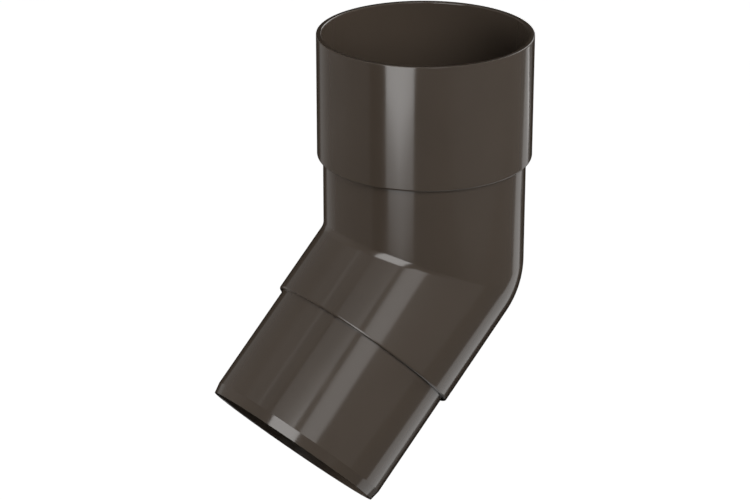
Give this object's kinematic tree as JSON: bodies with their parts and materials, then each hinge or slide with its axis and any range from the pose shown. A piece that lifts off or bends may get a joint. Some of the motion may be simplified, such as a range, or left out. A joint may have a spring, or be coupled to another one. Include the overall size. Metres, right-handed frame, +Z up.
{
  "type": "downspout elbow",
  "caption": "Moulded plastic downspout elbow: a wide pipe socket above, a body bent by 45 degrees and a stepped spigot with a lead-in below.",
  "frame": {"origin": "centre of the socket's mouth", "axes": "+Z up out of the socket along its axis; the leg leans toward -X by 45 degrees, and XZ is the plane of the bend"},
  "size_m": [0.1378, 0.0868, 0.1898],
  "materials": {
    "brown_plastic": "smooth, glossy, dark brown moulded plastic"
  },
  "bodies": {
    "root": {"elbow": "brown_plastic"}
  },
  "joints": []
}
